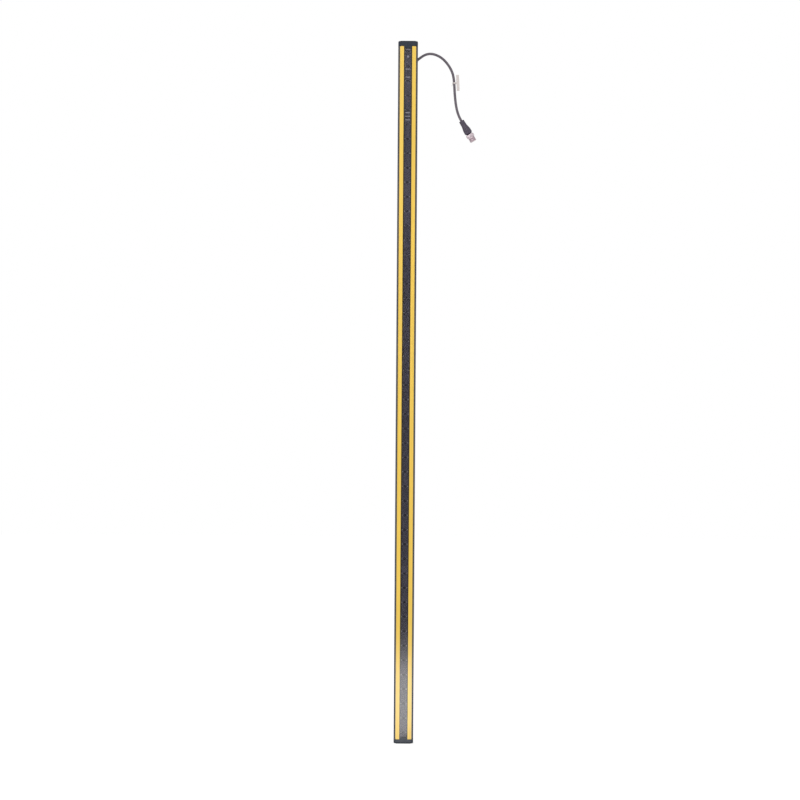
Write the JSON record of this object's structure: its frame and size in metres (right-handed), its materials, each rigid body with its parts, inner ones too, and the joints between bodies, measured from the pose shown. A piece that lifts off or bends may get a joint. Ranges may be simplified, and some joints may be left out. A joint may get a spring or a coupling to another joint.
{
  "type": "safety light curtain bar",
  "caption": "Slim upright safety light curtain bar: a dark window over a row of beam lenses between yellow strips, end caps, and a short cable with a round screw-lock plug.",
  "frame": {"origin": "centre of the bottom end cap's outer face", "axes": "+Z along the bar from its bottom end to the end where the cable leaves; -Y out of the window; +Y out of the back; +X to the right seen from the front"},
  "size_m": [0.1364, 0.0406, 1.213],
  "materials": {
    "housing": "black anodised, satin",
    "yellow": "yellow, satin",
    "window": "dark tinted polycarbonate, glossy",
    "seal": "black, matt",
    "cap": "black moulded, fine grain",
    "screw": "zinc plated",
    "lens": "clear acrylic, polished",
    "carrier": "black moulded, matt",
    "board": "green circuit board",
    "diode": "dark epoxy",
    "part_black": "black moulded",
    "light_guide": "milky, translucent",
    "power_guide": "red, translucent",
    "status_diode": "pale epoxy",
    "lead": "insulated conductors",
    "outlet": "black moulded",
    "boot": "black, matt",
    "cable": "dark grey jacket, satin",
    "plug": "dark grey overmould, satin",
    "insert": "black moulded",
    "pin": "gold plated",
    "nut": "nickel plated",
    "marker": "natural nylon"
  },
  "bodies": {
    "bar": {"beam_board_1": "board", "beam_board_2": "board", "beam_board_3": "board", "beam_board_4": "board", "beam_diodes_1": "diode", "beam_diodes_2": "diode", "beam_diodes_3": "diode", "beam_diodes_4": "diode", "board_header": "part_black", "board_links": "part_black", "cable": "cable", "cable_marker": "marker", "cable_outlet": "outlet", "cable_tie": "marker", "cap_screws_bottom": "screw", "cap_screws_top": "screw", "connector_body": "plug", "connector_insert": "insert", "connector_o_ring": "seal", "contact_pins": "pin", "control_board": "board", "control_parts": "part_black", "end_cap_bottom": "cap", "end_cap_top": "cap", "end_gasket_bottom": "seal", "end_gasket_top": "seal", "front_window": "window", "housing_profile": "housing", "inner_leads": "lead", "lead_header": "part_black", "lens_strip_1": "lens", "lens_strip_2": "lens", "lens_strip_3": "lens", "lens_strip_4": "lens", "optics_carrier_1": "carrier", "optics_carrier_2": "carrier", "optics_carrier_3": "carrier", "optics_carrier_4": "carrier", "outlet_gasket": "seal", "outlet_screws": "screw", "power_light_guide": "power_guide", "status_diodes": "status_diode", "status_light_guides": "light_guide", "strain_relief": "boot", "window_gasket": "seal", "yellow_strip_left": "yellow", "yellow_strip_right": "yellow"},
    "nut": {"coupling_nut": "nut"}
  },
  "joints": [
    {"name": "coupling_nut_spin", "type": "hinge", "parent": "bar", "child": "nut", "pos_m": [0.10874, 0.017, 1.05204], "axis": [0.518, 0, -0.8554], "continuous": true}
  ]
}
